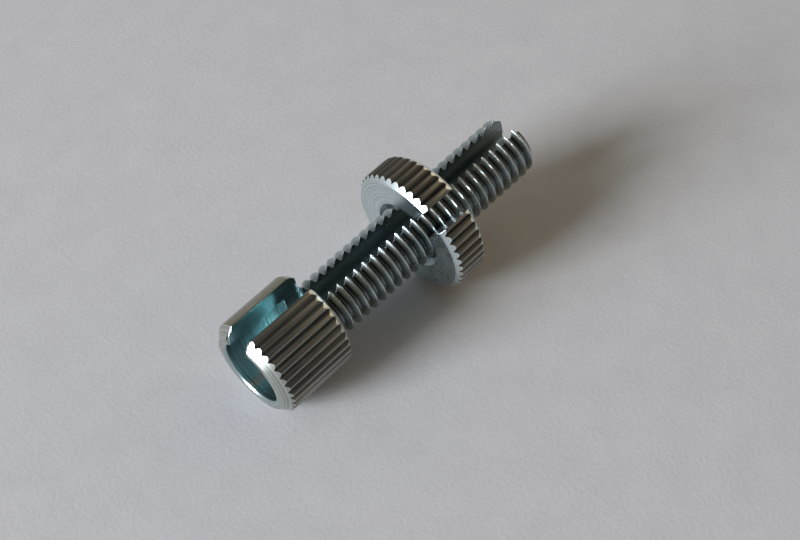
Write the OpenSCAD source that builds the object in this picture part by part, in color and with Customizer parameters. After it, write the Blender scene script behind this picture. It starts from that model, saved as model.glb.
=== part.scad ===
// Slotted cable adjuster: a knurled adjusting screw with a knurled lock ring on its stem.
// A cable end sits in the cup of the head, and the cable is laid in sideways through the slot.
// The piece lies the way it comes to rest, on the rims of its head and of its ring, slot uppermost.

/* [Stem] */
// Outside diameter of the stem's thread
stem_d = 5.9; // [5.5:0.1:6.3]
// Length of the stem, from the head's shoulder to the tip
stem_len = 25; // [18:0.5:40]
// Chamfer at the tip of the stem
tip_chamfer = 0.65; // [0.3:0.05:1]

/* [Head] */
// Diameter of the head over its knurl
head_d = 9.4; // [9:0.1:11]
// Length of the head, from its free end to the shoulder
head_len = 7.85; // [7:0.05:12]
// Teeth of the straight knurl on the head
head_teeth = 34; // [28:1:40]
// Arc of the head, back from the middle of its slot, that the knurl leaves plain
plain_arc = 54; // [0:1:80]
// Chamfer around the free end of the head
rim_chamfer = 0.85; // [0.3:0.05:0.9]
// Chamfer around the shoulder of the head
shoulder_chamfer = 0.5; // [0.2:0.05:0.8]
// Diameter of the cup that takes the cable's end ferrule
cup_d = 6.2; // [5.4:0.1:6.4]
// Depth of the cup
cup_depth = 6.2; // [4:0.1:6.5]
// Chamfer at the mouth of the cup
cup_chamfer = 0.25; // [0.1:0.05:0.3]

/* [Slot] */
// Width of the slot along the stem
slot_w = 2.2; // [1.6:0.1:2.4]
// Width of the slot through the side of the head
head_slot_w = 2.4; // [1.8:0.1:2.6]
// Shift of the head's slot from the stem's, towards the back
head_slot_shift = 0.3; // [0:0.05:0.4]
// Diameter of the cable's bore along the axis, which the slot opens
bore_d = 2.6; // [2.5:0.1:3.2]

/* [Lock ring] */
// Diameter of the ring over its knurl
ring_d = 12.6; // [11.5:0.1:16]
// Thickness of the ring
ring_thk = 3.6; // [2.5:0.1:5]
// Teeth of the straight knurl on the ring
ring_teeth = 44; // [36:1:56]
// Chamfer around both faces of the ring
ring_chamfer = 0.5; // [0.2:0.05:0.6]
// Countersink at both ends of the ring's hole
ring_sink = 0.45; // [0.2:0.05:0.8]
// Width of the slot through one side of the ring
ring_slot_w = 2.2; // [1.6:0.1:3]
// Clearance between the stem and the ring's hole, all around
ring_clear = 0.05; // [0.02:0.01:0.1]
// Distance from the head's shoulder to the ring
ring_gap = 11.2; // [1:0.1:14]

/* [Knurl] */
// Depth of the knurl's grooves
knurl_depth = 0.25; // [0.15:0.05:0.4]
// Share of each knurl tooth that is flat on top
knurl_land = 0.5; // [0.3:0.05:0.6]

/* [Rest] */
// Lean of the screw's slot away from upright, towards the back
slot_lean = 11; // [0:1:45]
// Lean of the ring's slot away from upright, towards the front
ring_lean = 34; // [0:1:90]

/* [Hidden] */
$fn = 96;
over = 0.5;
stem_r = stem_d / 2;
head_r = head_d / 2;
ring_r = ring_d / 2;
ring_hole_r = stem_r + ring_clear;
zinc = [0.72, 0.74, 0.75];
zinc_ring = [0.77, 0.79, 0.80];

// Lowest point of a knurled rim that rests on the two teeth beside a groove
function rim_low(r, teeth) = r * cos((0.5 - knurl_land / 2) * 360 / teeth);

// The axis rises towards the tip, because the ring is larger than the head
head_touch = rim_chamfer - head_len;
ring_touch = ring_gap + ring_chamfer;
head_low = rim_low(head_r, head_teeth);
ring_low = rim_low(ring_r, ring_teeth);
tilt = atan((ring_low - head_low) / (ring_touch - head_touch));
shoulder_z = ring_low * cos(tilt) - ring_touch * sin(tilt);
tip_x = stem_len * cos(tilt) + (stem_r - tip_chamfer) * sin(tilt);
end_x = -head_len * cos(tilt) - (head_r - rim_chamfer) * sin(tilt);
mid_x = (tip_x + end_x) / 2;

// Outline of a straight knurl with a groove at the bottom, and without grooves in the arc behind the slot
function knurl(r, teeth, plain) = [
    for (i = [0 : teeth - 1], k = [-1, 0, 1])
        let (
            a = 180 + (i + (k == -1 ? 0 : 0.5 + (k == 0 ? -1 : 1) * knurl_land / 2)) * 360 / teeth,
            bare = a > 360 - slot_lean - plain && a < 360 - slot_lean,
            d = k == -1 && !bare ? r - knurl_depth : r
        )
        [d * cos(a), d * sin(a)]
];

// Knurled cylinder of length len, chamfered by low at its start and by high at its end
module knurled(r, len, teeth, low, high, plain = 0) {
    intersection() {
        linear_extrude(height = len)
            polygon(knurl(r, teeth, plain));
        rotate_extrude()
            polygon([
                [0, 0],
                [r - low, 0],
                [r + over, low + over],
                [r + over, len - high - over],
                [r - high, len],
                [0, len]
            ]);
    }
}

// Slot of width w that opens from the axis upward, from height z0 to z1
module slot(w, depth, z0, z1) {
    translate([0, -w / 2, z0])
        cube([depth, w, z1 - z0]);
}

// Lays a piece that stands on the head's shoulder, its upper side +X, in its place of rest
module at_rest() {
    translate([-mid_x, 0, shoulder_z])
        rotate([0, 90 - tilt, 0])
            rotate([0, 0, 180])
                children();
}

// Stem from inside the head to its chamfered tip
module stem() {
    rotate_extrude()
        polygon([
            [0, -shoulder_chamfer],
            [stem_r, -shoulder_chamfer],
            [stem_r, stem_len - tip_chamfer],
            [stem_r - tip_chamfer, stem_len],
            [0, stem_len]
        ]);
}

// Cup in the head's free end, with its chamfered mouth
module cup() {
    translate([0, 0, -head_len])
        rotate_extrude()
            polygon([
                [0, -over],
                [cup_d / 2 + cup_chamfer + over, -over],
                [cup_d / 2, cup_chamfer],
                [cup_d / 2, cup_depth],
                [0, cup_depth]
            ]);
}

// Adjusting screw in one piece: head, stem, cup, bore and slot
module adjuster_screw() {
    color(zinc)
        at_rest()
            difference() {
                union() {
                    translate([0, 0, -head_len])
                        knurled(head_r, head_len, head_teeth, rim_chamfer, shoulder_chamfer, plain_arc);
                    stem();
                }
                cup();
                translate([0, 0, -head_len])
                    cylinder(d = bore_d, h = head_len + stem_len + over);
                rotate([0, 0, -slot_lean]) {
                    slot(slot_w, head_d, 0, stem_len + over);
                    translate([0, -head_slot_shift, 0])
                        slot(head_slot_w, head_d, -head_len - over, 0);
                }
            }
}

// Lock ring with its countersunk hole and its slot
module lock_ring() {
    color(zinc_ring)
        at_rest()
            translate([0, 0, ring_gap])
                difference() {
                    knurled(ring_r, ring_thk, ring_teeth, ring_chamfer, ring_chamfer);
                    rotate_extrude()
                        polygon([
                            [0, -over],
                            [ring_hole_r + ring_sink + over, -over],
                            [ring_hole_r, ring_sink],
                            [ring_hole_r, ring_thk - ring_sink],
                            [ring_hole_r + ring_sink + over, ring_thk + over],
                            [0, ring_thk + over]
                        ]);
                    rotate([0, 0, ring_lean])
                        slot(ring_slot_w, ring_d, -over, ring_thk + over);
                }
}

adjuster_screw();
lock_ring();
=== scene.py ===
"""Slotted cable adjuster: a knurled screw with a ferrule cup and a slotted lock ring, lying on pale paper.

Pieces are modelled in millimetres along their own axis, with the head's shoulder at 0, the tip at +Z and
the upper side at +X, and are then laid where they rest in the frame.
"""

from math import atan, atan2, cos, pi, radians, sin

import bmesh
import bpy
from mathutils import Matrix


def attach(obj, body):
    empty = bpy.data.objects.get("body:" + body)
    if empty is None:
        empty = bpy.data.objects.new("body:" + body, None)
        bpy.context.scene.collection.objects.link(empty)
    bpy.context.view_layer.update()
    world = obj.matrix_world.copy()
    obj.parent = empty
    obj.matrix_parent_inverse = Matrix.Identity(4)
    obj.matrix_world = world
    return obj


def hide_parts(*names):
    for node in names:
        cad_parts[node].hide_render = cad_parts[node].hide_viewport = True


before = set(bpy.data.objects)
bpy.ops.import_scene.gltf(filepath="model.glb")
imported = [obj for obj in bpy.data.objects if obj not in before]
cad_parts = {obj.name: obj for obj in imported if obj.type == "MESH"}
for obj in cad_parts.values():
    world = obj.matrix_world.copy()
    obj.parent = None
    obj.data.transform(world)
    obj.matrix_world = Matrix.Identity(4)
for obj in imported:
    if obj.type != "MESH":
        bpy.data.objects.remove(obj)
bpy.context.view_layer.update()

# Sizes of the two pieces, in millimetres and degrees
STEM_R, STEM_LEN, TIP_CHAMFER = 2.95, 25.0, 0.65
PITCH, THREAD_DEPTH, THREAD_ROOM = 1.0, 0.60, 0.06
HEAD_R, HEAD_LEN, HEAD_TEETH = 4.7, 7.85, 34
RIM_CHAMFER, RIM_BREAK, SHOULDER_CHAMFER = 0.85, 0.2, 0.5
CUP_R, CUP_DEPTH, CUP_CHAMFER = 3.1, 6.2, 0.15
SLOT_W, HEAD_SLOT_W, HEAD_SLOT_SHIFT, BORE_R = 2.2, 2.4, 0.3, 1.3
RING_R, RING_THK, RING_TEETH = 6.3, 3.6, 44
RING_CHAMFER, RING_SINK, RING_HOLE_R, RING_SLOT_W, RING_GAP = 0.5, 0.45, 3.0, 2.2, 11.2
GROOVE_DEPTH, GROOVE_SHARPNESS, KNURL_LAND = 0.3, 1.7, 0.5
SLOT_LEAN, RING_LEAN, PLAIN_ARC = -11.0, 34.0, 54.0
# Height of the thread's first crest at the upper side, read from where the crests meet the slot
THREAD_START = 0.27
# How far blanks and cutters run on past what they shape
PAST, CHAMFER_PAST = 1.0, 0.5
# Steps round a turned shape, four to a tooth, and round the narrow bore
HEAD_STEPS, RING_STEPS, BORE_STEPS = 4 * HEAD_TEETH, 4 * RING_TEETH, 64
# Points closer than this are one, the second after a sweep or a row of cuts
WELD, LOOSE_WELD = 1e-5, 1e-4
# A millimetre in the frame's metres
MM = 0.001

# How the piece lies: on the solids' flat teeth at the rims of head and ring, so its axis rises to the tip
LAND_EDGE = 0.5 - KNURL_LAND / 2
head_low = HEAD_R * cos(LAND_EDGE * 2 * pi / HEAD_TEETH)
ring_low = RING_R * cos(LAND_EDGE * 2 * pi / RING_TEETH)
ring_touch = RING_GAP + RING_CHAMFER
head_touch = RIM_CHAMFER - HEAD_LEN
tilt = atan((ring_low - head_low) / (ring_touch - head_touch))
shoulder_z = ring_low * cos(tilt) - ring_touch * sin(tilt)
tip_x = STEM_LEN * cos(tilt) + (STEM_R - TIP_CHAMFER) * sin(tilt)
end_x = -HEAD_LEN * cos(tilt) - (HEAD_R - RIM_CHAMFER) * sin(tilt)
at_rest = (
    Matrix.Scale(MM, 4)
    @ Matrix.Translation((-(tip_x + end_x) / 2, 0, shoulder_z))
    @ Matrix.Rotation(pi / 2 - tilt, 4, "Y")
    @ Matrix.Rotation(pi, 4, "Z")
)


def linear(hex_colour):
    """An sRGB hex value as linear RGBA."""
    parts = [int(hex_colour[i:i + 2], 16) / 255 for i in (1, 3, 5)]
    return [c / 12.92 if c <= 0.04045 else ((c + 0.055) / 1.055) ** 2.4 for c in parts] + [1.0]


def add(tree, kind, settings=None):
    """Adds a node. Each setting names a property or an input, or numbers an input where names repeat, and
    gives its value or the other node's output that is linked to it."""
    node = tree.nodes.new(kind)
    for key, value in (settings or {}).items():
        if isinstance(key, str) and key not in node.inputs:
            setattr(node, key, value)
        elif isinstance(value, bpy.types.NodeSocket):
            tree.links.new(value, node.inputs[key])
        else:
            node.inputs[key].default_value = value
    return node


# Finishes

def zinc(name, tints, roughness, marks=None, edge=0.05, groove_shade=None):
    """Zinc-plated steel, bright blue-passivated: a mirror-like grey with a cool tint, clouded between two
    tints and softened by the plating's fine grain. marks is (run, spacing in mm, height in mm) of the tool
    marks under the plating: rings round the axis or feed along it from the lathe, or strokes along it from
    the mill and the knurling wheel. edge is how far the plating rounds an edge, in mm. groove_shade is
    (crest radius, depth, share of the brightness left) of a painted shade that darkens the colour from the
    crests down to the groove bottoms."""
    # The grain is drawn coarser than the real one so that it shows
    cloud_size, grain_size, grain_height = 1.54, 0.125, 0.02
    material = bpy.data.materials.new(name)
    material.use_nodes = True
    tree = material.node_tree
    tree.nodes.clear()
    place = add(tree, "ShaderNodeTexCoord")
    # The piece's own frame in millimetres, with Z along its axis
    lie = add(tree, "ShaderNodeMapping", {
        "vector_type": "TEXTURE",
        "Vector": place.outputs["Object"],
        "Location": at_rest.to_translation(),
        "Rotation": at_rest.to_euler(),
        "Scale": (MM, MM, MM),
    }).outputs[0]
    cloud = add(tree, "ShaderNodeTexNoise", {
        "Vector": lie, "Scale": 1 / cloud_size, "Detail": 4.0, "Roughness": 0.6,
    }).outputs["Fac"]
    colour = add(tree, "ShaderNodeMix", {
        "data_type": "RGBA", "Factor": cloud, 6: linear(tints[0]), 7: linear(tints[1]),
    }).outputs[2]
    polish = add(tree, "ShaderNodeMapRange", {
        "Value": cloud, "From Min": 0.3, "From Max": 0.7, "To Min": roughness[0], "To Max": roughness[1],
    }).outputs[0]
    grain = add(tree, "ShaderNodeTexNoise", {
        "Vector": lie, "Scale": 1 / grain_size, "Detail": 2.0,
    }).outputs["Fac"]
    rounded = add(tree, "ShaderNodeBevel", {"samples": 8, "Radius": edge * MM}).outputs[0]
    normal = add(tree, "ShaderNodeBump", {
        "Height": grain, "Strength": 0.08, "Distance": grain_height * MM, "Normal": rounded,
    }).outputs[0]
    shades = []
    # Painted shade: the colour darkens from the crests down into the hollows, by distance from the axis
    if groove_shade:
        crest, depth, left = groove_shade
        across = add(tree, "ShaderNodeVectorMath", {"operation": "MULTIPLY", 0: lie, 1: (1, 1, 0)})
        radius = add(tree, "ShaderNodeVectorMath", {"operation": "LENGTH", 0: across.outputs[0]})
        shades.append(add(tree, "ShaderNodeMapRange", {
            "Value": radius.outputs["Value"],
            "From Min": crest - 0.85 * depth,
            "From Max": crest - 0.1 * depth,
            "To Min": left,
            "To Max": 1.0,
        }))
    if marks:
        run, spacing, height = marks
        # Rings follow the distance from the axis, feed the place along it, and strokes are drawn out along it
        weights = {"rings": (1, 1, 0), "feed": (0, 0, 1), "strokes": (1, 1, 1 / 30)}[run]
        weighed = add(tree, "ShaderNodeVectorMath", {
            "operation": "MULTIPLY", 0: lie, 1: weights,
        }).outputs[0]
        if run == "strokes":
            pattern = {"Vector": weighed}
        else:
            reach = add(tree, "ShaderNodeVectorMath", {"operation": "LENGTH", 0: weighed})
            pattern = {"noise_dimensions": "1D", "W": reach.outputs["Value"]}
        lines = add(tree, "ShaderNodeTexNoise", {
            **pattern, "Scale": 1 / spacing, "Detail": 3.0,
        }).outputs["Fac"]
        normal = add(tree, "ShaderNodeBump", {
            "Height": lines, "Strength": 0.6, "Distance": height * MM, "Normal": normal,
        }).outputs[0]
        # The plating lies thinner and duller along the deeper marks
        shades.append(add(tree, "ShaderNodeMapRange", {
            "Value": lines, "From Min": 0.35, "From Max": 0.65, "To Min": 0.72, "To Max": 1.06,
        }))
    for shade in shades:
        colour = add(tree, "ShaderNodeMix", {
            "data_type": "RGBA", "blend_type": "MULTIPLY", "Factor": 1.0, 6: colour, 7: shade.outputs[0],
        }).outputs[2]
    shader = add(tree, "ShaderNodeBsdfPrincipled", {
        "Metallic": 1.0, "Base Color": colour, "Roughness": polish, "Normal": normal,
    })
    add(tree, "ShaderNodeOutputMaterial", {"Surface": shader.outputs[0]})
    return material


# The ring's turned faces are the brightest, with the lathe's fine rings
TURNED = zinc("zinc_plate_turned", ("#dde7e7", "#d0dee0"), (0.24, 0.34), ("rings", 0.16, 0.025))
# The head's end and shoulder are turned too, and greyer
HEAD_TURNED = zinc("zinc_plate_turned_head", ("#c9cec6", "#bac1ba"), (0.24, 0.34), ("rings", 0.16, 0.02))
# Knurled teeth are satin and a little warm, and differ slightly from one to the next. Painted shade
# darkens the knurls' hollows, lightly on the head and strongly on the ring
KNURLED = zinc("zinc_plate_knurled_head", ("#a6a69e", "#8c8c86"), (0.26, 0.38), ("strokes", 0.5, 0.03),
               groove_shade=(HEAD_R, GROOVE_DEPTH, 0.9))
RING_KNURLED = zinc("zinc_plate_knurled_ring", ("#a09f98", "#86857f"), (0.26, 0.38), ("strokes", 0.5, 0.03),
                    groove_shade=(RING_R, GROOVE_DEPTH, 0.5))
# The plain stretch beside the slot is dull and olive
PLAIN = zinc("zinc_plate_dulled", ("#a3a28a", "#93917c"), (0.24, 0.34), ("strokes", 0.3, 0.012))
# The rolled thread has bright crests, and its roots are darkened with painted shade
THREADED = zinc("zinc_plate_rolled_thread", ("#b9c2c3", "#a8b4b6"), (0.22, 0.32), edge=0.03,
                groove_shade=(STEM_R, THREAD_DEPTH, 0.4))
# The stem's slot, the bore and the countersinks are grey and finely streaked
MILLED = zinc("zinc_plate_milled", ("#a9b5b6", "#98a6a8"), (0.25, 0.35), ("strokes", 0.25, 0.01))
# Inside the head the plating looks blue-green: glossy on the slot's walls, ringed in the cup and matt on
# its floor
SAWN = zinc("zinc_plate_sawn", ("#c0dcdd", "#b2d1d3"), (0.18, 0.26), ("rings", 0.2, 0.008))
BORED = zinc("zinc_plate_bored", ("#c8dcdd", "#bad0d1"), (0.18, 0.26), ("feed", 0.22, 0.045))
DRILLED = zinc("zinc_plate_drilled", ("#bceaeb", "#b0e0e2"), (0.55, 0.62), ("rings", 0.2, 0.02))


# Shapes

def finish_shape(name, bm, material):
    """Closes a bmesh into an object with its normals outwards."""
    bmesh.ops.remove_doubles(bm, verts=bm.verts, dist=WELD)
    bmesh.ops.recalc_face_normals(bm, faces=bm.faces)
    mesh = bpy.data.meshes.new(name)
    bm.to_mesh(mesh)
    bm.free()
    mesh.materials.append(material)
    piece = bpy.data.objects.new(name, mesh)
    bpy.context.scene.collection.objects.link(piece)
    return piece


def turned(name, outline, material, steps=HEAD_STEPS):
    """A solid of revolution about Z, from (radius, height) points that start and end on the axis."""
    bm = bmesh.new()
    verts = [bm.verts.new((r, 0, z)) for r, z in outline]
    edges = [bm.edges.new(pair) for pair in zip(verts, verts[1:])]
    bmesh.ops.spin(bm, geom=verts + edges, cent=(0, 0, 0), axis=(0, 0, 1), dvec=(0, 0, 0),
                   angle=2 * pi, steps=steps, use_merge=True)
    return finish_shape(name, bm, material)


def rod(name, radius, low, high, material, steps=HEAD_STEPS):
    """A plain cylinder about Z."""
    return turned(name, [(0, low), (radius, low), (radius, high), (0, high)], material, steps)


def lower_chamfer(radius, face, size):
    """The outline of a blank from its lower face out past the knurl: a chamfer of 45 degrees."""
    return [(radius - size, face), (radius + CHAMFER_PAST, face + size + CHAMFER_PAST)]


def upper_chamfer(radius, face, size):
    """The outline of a blank from past the knurl in to its upper face: a narrow facet of 20 degrees that
    catches the light, then a chamfer of 45 degrees."""
    facet_depth, facet_run = 0.1, 1.5
    return [
        (radius + CHAMFER_PAST, face - size - facet_run),
        (radius - facet_depth, face - size + facet_depth),
        (radius - size, face),
    ]


def knurl_stock(name, radius, teeth, low, high, material, plain=0.0):
    """A straight-knurled bar: round crests with a sharp V between them. An arc of plain degrees, back from
    the middle of the slot, is left round and smooth and has a finish of its own."""
    steps_per_tooth = 16

    def is_plain(point):
        return radians(SLOT_LEAN - plain) < atan2(point.y, point.x) < radians(SLOT_LEAN)

    bm = bmesh.new()
    bmesh.ops.create_circle(bm, cap_ends=True, radius=radius, segments=teeth * steps_per_tooth)
    for vert in bm.verts:
        if is_plain(vert.co):
            continue
        # How far the vertex is from its groove, as a share of a tooth; a groove is at the bottom
        turn = (atan2(vert.co.y, vert.co.x) - pi) / (2 * pi) * teeth
        away = abs((turn + 0.5) % 1 - 0.5)
        depth = GROOVE_DEPTH * (1 - 2 * away) ** GROOVE_SHARPNESS
        vert.co *= (radius - depth) / radius
    top = bmesh.ops.extrude_face_region(bm, geom=list(bm.faces))["geom"]
    top_verts = [v for v in top if isinstance(v, bmesh.types.BMVert)]
    bmesh.ops.translate(bm, verts=top_verts, vec=(0, 0, high - low))
    bmesh.ops.translate(bm, verts=bm.verts, vec=(0, 0, low))
    for face in bm.faces:
        middle = face.calc_center_median()
        if middle.xy.length > radius / 2 and is_plain(middle):
            face.material_index = 1
    piece = finish_shape(name, bm, material)
    piece.data.materials.append(PLAIN)
    return piece


def thread(name, crest, root, low, high, material):
    """A right-hand thread of 60 degrees: one pitch of its outline, swept round and up, then cut square."""
    steps_per_turn, spare_turns = 72, 3
    tan_30 = 0.5774
    crest_flat = PITCH * 0.06
    flank = (crest - root) * tan_30
    # Half a pitch as (height, radius), from the middle of the crest to the middle of the root, both rounded
    flank_top = (crest_flat * 1.5, crest - 0.06)
    flank_foot = (crest_flat + flank - 0.045, root + 0.07)
    # Two more points near the ends of the flank keep it straight, so only the crest and the root look round
    slope = [
        tuple(a + (b - a) * part for a, b in zip(flank_top, flank_foot))
        for part in (0.0, 0.12, 0.88, 1.0)
    ]
    half = [
        (0.0, crest), (crest_flat * 0.7, crest - 0.008), *slope,
        (crest_flat + flank + 0.02, root + 0.012), (PITCH / 2, root),
    ]
    outline = [(-z, r) for z, r in reversed(half[1:])] + half
    turns = int((high - low) / PITCH + spare_turns)
    first = low - PITCH + (THREAD_START - low) % PITCH
    bm = bmesh.new()
    verts = [bm.verts.new((r, 0, first + z)) for z, r in outline]
    edges = [bm.edges.new(pair) for pair in zip(verts, verts[1:])]
    bmesh.ops.spin(bm, geom=verts + edges, cent=(0, 0, 0), axis=(0, 0, 1),
                   dvec=(0, 0, PITCH / steps_per_turn), angle=2 * pi * turns, steps=turns * steps_per_turn)
    bmesh.ops.remove_doubles(bm, verts=bm.verts, dist=LOOSE_WELD)
    for height, normal in ((low, (0, 0, -1)), (high, (0, 0, 1))):
        bmesh.ops.bisect_plane(bm, geom=bm.verts[:] + bm.edges[:] + bm.faces[:], dist=1e-6,
                               plane_co=(0, 0, height), plane_no=normal, clear_outer=True)
        rim = [
            e for e in bm.edges
            if e.is_boundary and all(abs(v.co.z - height) < LOOSE_WELD for v in e.verts)
        ]
        bmesh.ops.contextual_create(bm, geom=rim)
    return finish_shape(name, bm, material)


def bar(name, width, reach, low, high, lean, material, shift=0.0):
    """The path of a slotting cutter: from the axis outwards, leaning from the upper side by an angle."""
    bm = bmesh.new()
    bmesh.ops.create_cube(bm, size=1)
    bmesh.ops.scale(bm, verts=bm.verts, vec=(reach, width, high - low))
    bmesh.ops.translate(bm, verts=bm.verts, vec=(reach / 2, shift, (low + high) / 2))
    bmesh.ops.rotate(bm, verts=bm.verts, cent=(0, 0, 0), matrix=Matrix.Rotation(radians(lean), 3, "Z"))
    return finish_shape(name, bm, material)


def combine(piece, tool, operation):
    """Joins, cuts or trims a piece by a tool, which leaves its own finish on the faces it makes."""
    change = piece.modifiers.new(operation, "BOOLEAN")
    change.operation, change.object, change.solver = operation, tool, "EXACT"
    change.material_mode = "TRANSFER"
    graph = bpy.context.evaluated_depsgraph_get()
    mesh = bpy.data.meshes.new_from_object(piece.evaluated_get(graph))
    piece.modifiers.clear()
    piece.data = mesh
    bpy.data.objects.remove(tool)


def break_edges(piece, first, second, below, width):
    """Rounds the sharp edges between two finishes that lie below a height, outside the cup."""
    bm = bmesh.new()
    bm.from_mesh(piece.data)
    bmesh.ops.remove_doubles(bm, verts=bm.verts, dist=LOOSE_WELD)
    pair = {piece.data.materials.find(first.name), piece.data.materials.find(second.name)}
    sharp, lip = radians(30), CUP_R + CUP_CHAMFER - 0.01
    edges = [
        e for e in bm.edges
        if {f.material_index for f in e.link_faces} == pair and e.calc_face_angle(0) > sharp
        and all(v.co.z < below and v.co.xy.length > lip for v in e.verts)
    ]
    bmesh.ops.bevel(bm, geom=edges, offset=width, offset_type="OFFSET", affect="EDGES", segments=2,
                    profile=0.5, material=-1)
    bm.to_mesh(piece.data)
    bm.free()


def lay_down(piece, node, body):
    """Puts a finished piece in its place in the frame, in metres, smooth but for its corners."""
    bm = bmesh.new()
    bm.from_mesh(piece.data)
    bmesh.ops.remove_doubles(bm, verts=bm.verts, dist=WELD)
    bmesh.ops.dissolve_degenerate(bm, edges=bm.edges, dist=WELD)
    bm.to_mesh(piece.data)
    bm.free()
    piece.data.transform(at_rest)
    piece.data.polygons.foreach_set("use_smooth", [True] * len(piece.data.polygons))
    piece.data.set_sharp_from_angle(angle=radians(32))
    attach(piece, body)
    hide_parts(node)


# The adjusting screw: a knurled head, a threaded stem, a cup, a bore and the slot along them all
head = knurl_stock("knurled_screw", HEAD_R, HEAD_TEETH, -HEAD_LEN - PAST, PAST, KNURLED, PLAIN_ARC)
combine(head, turned("head_blank", [
    (0, -HEAD_LEN),
    *lower_chamfer(HEAD_R, -HEAD_LEN, RIM_CHAMFER),
    *upper_chamfer(HEAD_R, 0, SHOULDER_CHAMFER),
    (0, 0),
], HEAD_TURNED), "INTERSECT")

STEM_INSET, TIP_SPARE = 0.8, 0.5
stem = thread("stem", STEM_R, STEM_R - THREAD_DEPTH, -STEM_INSET, STEM_LEN + TIP_SPARE, THREADED)
combine(stem, turned("stem_blank", [
    (0, -2 * PAST),
    (STEM_R + PAST, -2 * PAST),
    (STEM_R + PAST, STEM_LEN - TIP_CHAMFER - PAST),
    (STEM_R - TIP_CHAMFER, STEM_LEN),
    (0, STEM_LEN),
], TURNED), "INTERSECT")
combine(head, stem, "UNION")

# The borer leaves a narrow step round the floor that the drill finishes
FLOOR_STEP = 0.05
cup_floor = -HEAD_LEN + CUP_DEPTH
combine(head, turned("cup", [
    (0, -HEAD_LEN - CHAMFER_PAST),
    (CUP_R + CUP_CHAMFER + CHAMFER_PAST, -HEAD_LEN - CHAMFER_PAST),
    (CUP_R, -HEAD_LEN + CUP_CHAMFER),
    (CUP_R, cup_floor - FLOOR_STEP),
    (0, cup_floor - FLOOR_STEP),
], BORED), "DIFFERENCE")
combine(head, rod("cup_floor", CUP_R - FLOOR_STEP, cup_floor - PAST, cup_floor, DRILLED), "DIFFERENCE")
combine(head, rod("bore", BORE_R, -HEAD_LEN - PAST, STEM_LEN + PAST, MILLED, BORE_STEPS), "DIFFERENCE")

# Both cutters run a little past the shoulder, so that no cut ends in its plane
HEAD_SLOT_END, STEM_SLOT_START = 0.04, -0.05
combine(head, bar("head_slot", HEAD_SLOT_W, 2 * HEAD_R, -HEAD_LEN - PAST, HEAD_SLOT_END, SLOT_LEAN, SAWN,
                  -HEAD_SLOT_SHIFT), "DIFFERENCE")
combine(head, bar("slot", SLOT_W, 2 * HEAD_R, STEM_SLOT_START, STEM_LEN + PAST, SLOT_LEAN, MILLED),
        "DIFFERENCE")
break_edges(head, HEAD_TURNED, SAWN, -HEAD_LEN + RIM_CHAMFER, RIM_BREAK)
lay_down(head, "adjuster_screw", "screw")

# The lock ring: a knurled edge, turned faces, a countersunk threaded hole and a slot through one side
ring_back = RING_GAP + RING_THK
ring = knurl_stock("knurled_lock_ring", RING_R, RING_TEETH, RING_GAP - PAST, ring_back + PAST, RING_KNURLED)
combine(ring, turned("ring_blank", [
    (0, RING_GAP),
    *lower_chamfer(RING_R, RING_GAP, RING_CHAMFER),
    *upper_chamfer(RING_R, ring_back, RING_CHAMFER),
    (0, ring_back),
], TURNED, RING_STEPS), "INTERSECT")
tap_root = STEM_R - THREAD_DEPTH + THREAD_ROOM
combine(ring, thread("tap", RING_HOLE_R, tap_root, RING_GAP - PAST, ring_back + PAST, THREADED),
        "DIFFERENCE")
# The countersink's cone runs on into the hole
CONE_TIP = 0.8
for face, outward in ((RING_GAP, -1), (ring_back, 1)):
    deep = face - outward * (RING_SINK + CONE_TIP)
    combine(ring, turned("countersink", [
        (0, face + outward * PAST),
        (RING_HOLE_R + RING_SINK + PAST, face + outward * PAST),
        (RING_HOLE_R - CONE_TIP, deep),
        (0, deep),
    ], MILLED), "DIFFERENCE")
combine(ring, bar("ring_slot", RING_SLOT_W, 2 * RING_R, RING_GAP - PAST, ring_back + PAST, RING_LEAN,
                  MILLED), "DIFFERENCE")
lay_down(ring, "lock_ring", "ring")


# The sheet of paper that it lies on

def paper():
    """Uncoated white paper in dim daylight: matt, with faint cloudy shading and a fine fibre."""
    cloud_size, fibre_size, fibre_height = 4.0, 0.4, 0.1
    material = bpy.data.materials.new("uncoated_paper")
    material.use_nodes = True
    tree = material.node_tree
    tree.nodes.clear()
    place = add(tree, "ShaderNodeTexCoord").outputs["Object"]
    cloud = add(tree, "ShaderNodeTexNoise", {
        "Vector": place, "Scale": 1 / (cloud_size * MM), "Detail": 5.0, "Roughness": 0.65,
    }).outputs["Fac"]
    shade = add(tree, "ShaderNodeMix", {
        "data_type": "RGBA", "Factor": cloud, 6: linear("#c4c5c5"), 7: linear("#b5b6b7"),
    }).outputs[2]
    fibre = add(tree, "ShaderNodeTexNoise", {
        "Vector": place, "Scale": 1 / (fibre_size * MM), "Detail": 3.0,
    }).outputs["Fac"]
    bump = add(tree, "ShaderNodeBump", {
        "Height": fibre, "Strength": 0.2, "Distance": fibre_height * MM,
    }).outputs[0]
    shader = add(tree, "ShaderNodeBsdfPrincipled", {
        "Base Color": shade, "Roughness": 0.9, "Specular IOR Level": 0.2, "Normal": bump,
    })
    add(tree, "ShaderNodeOutputMaterial", {"Surface": shader.outputs[0]})
    return material


# Wide enough to fill low views, and a hair under the piece, in metres
SHEET_R, SHEET_DROP = 4.0, 0.00002
sheet = bmesh.new()
bmesh.ops.create_circle(sheet, cap_ends=True, radius=SHEET_R, segments=96)
floor = finish_shape("paper_floor", sheet, paper())
floor.location.z = -SHEET_DROP

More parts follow.
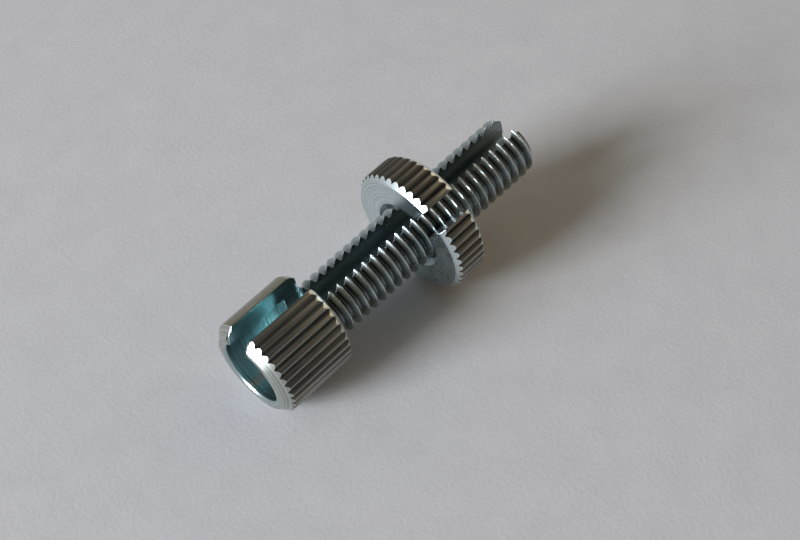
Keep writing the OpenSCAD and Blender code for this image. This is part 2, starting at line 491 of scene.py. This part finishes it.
# Light: a dim room with a window beyond the head. What the metal mirrors of the room is given by its
# direction, the cosines of the angles from there at which it begins and is whole, and its linear colour
DIM_ROOM = (0.128, 0.128, 0.122, 1)
WARM_WALL = ((0.978, -0.050, 0.200), (0.45, 0.98), (1.15, 0.90, 0.60, 1))
PALE_WALL = ((-0.612, 0.783, 0.105), (0.72, 0.96), (0.60, 0.60, 0.58, 1))
WINDOW_BAY = ((-0.960, 0.199, 0.208), (0.88, 0.98), (1.60, 1.65, 1.70, 1))
DARK_VIEWER = ((-0.220, -0.520, 0.825), (0.62, 0.95), (0.030, 0.032, 0.034, 1))
world = bpy.data.worlds.new("room")
bpy.context.scene.world = world
world.use_nodes = True
tree = world.node_tree
tree.nodes.clear()
look = add(tree, "ShaderNodeTexCoord").outputs["Generated"]
seen = DIM_ROOM
for toward, (begins, whole), colour in (WARM_WALL, PALE_WALL, WINDOW_BAY, DARK_VIEWER):
    facing = add(tree, "ShaderNodeVectorMath", {"operation": "DOT_PRODUCT", 0: look, 1: toward})
    share = add(tree, "ShaderNodeMapRange", {
        "interpolation_type": "SMOOTHSTEP", "Value": facing.outputs["Value"],
        "From Min": begins, "From Max": whole,
    })
    seen = add(tree, "ShaderNodeMix", {
        "data_type": "RGBA", "Factor": share.outputs[0], 6: seen, 7: colour,
    }).outputs[2]
room = add(tree, "ShaderNodeBackground", {"Color": seen, "Strength": 1.0})
add(tree, "ShaderNodeOutputWorld", {"Surface": room.outputs[0]})

# The window itself, 21 by 27 degrees wide and 20 degrees up, shows as a bright pane in the metal
pane = bpy.data.lights.new("window", "AREA")
pane.shape, pane.size, pane.size_y = "RECTANGLE", 0.371, 0.480
pane.energy, pane.color = 19.5, linear("#f0f4ff")[:3]
window = bpy.data.objects.new("window", pane)
bpy.context.scene.collection.objects.link(window)
window.location = (-0.920, 0.191, 0.342)
window.rotation_euler = window.location.to_track_quat("Z", "Y").to_euler()
window.visible_camera = False

# Camera at the photograph's angle: 53 degrees down, from the front left
camera = bpy.data.objects.new("camera", bpy.data.cameras.new("camera"))
bpy.context.scene.collection.objects.link(camera)
camera.data.lens, camera.data.sensor_width, camera.data.clip_start = 72.0, 36.0, 0.005
camera.location = (-0.0598, -0.0602, 0.1176)
camera.rotation_euler = (radians(36.66), 0, radians(-45.62))
bpy.context.scene.camera = camera

bpy.context.scene.view_settings.view_transform = "Standard"
